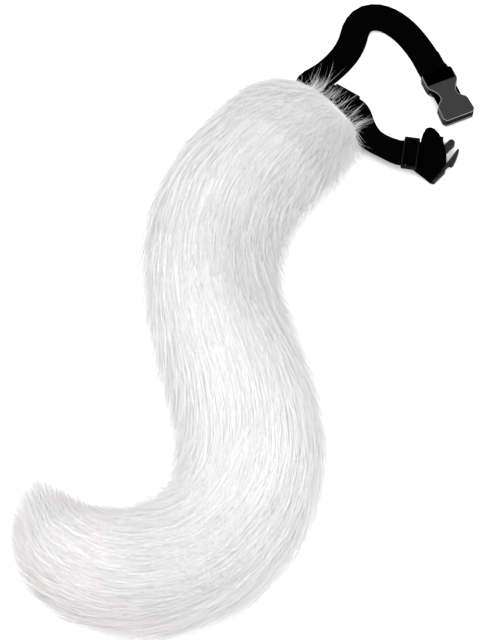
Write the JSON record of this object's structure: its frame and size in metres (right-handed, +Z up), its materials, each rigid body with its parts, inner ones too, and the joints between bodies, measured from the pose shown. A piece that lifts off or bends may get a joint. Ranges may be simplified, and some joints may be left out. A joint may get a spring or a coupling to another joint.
{
  "type": "costume tail",
  "caption": "Long-pile faux-fur costume tail lying in an S, hung by a casing on an elastic belt with a side-release buckle and a slider.",
  "frame": {"origin": "middle of the underside of the casing that holds the tail on the belt", "axes": "+Z up from the floor it lies on, +Y the long way from the tail's tip to the belt"},
  "size_m": [0.3871, 0.5881, 0.082],
  "materials": {
    "fur": "matte",
    "webbing": "matte",
    "plastic": "satin"
  },
  "bodies": {
    "root": {"tail_fur": "fur", "belt": "webbing", "belt_casing": "webbing", "slider": "plastic", "buckle_socket": "plastic", "buckle_prongs": "plastic"}
  },
  "joints": []
}
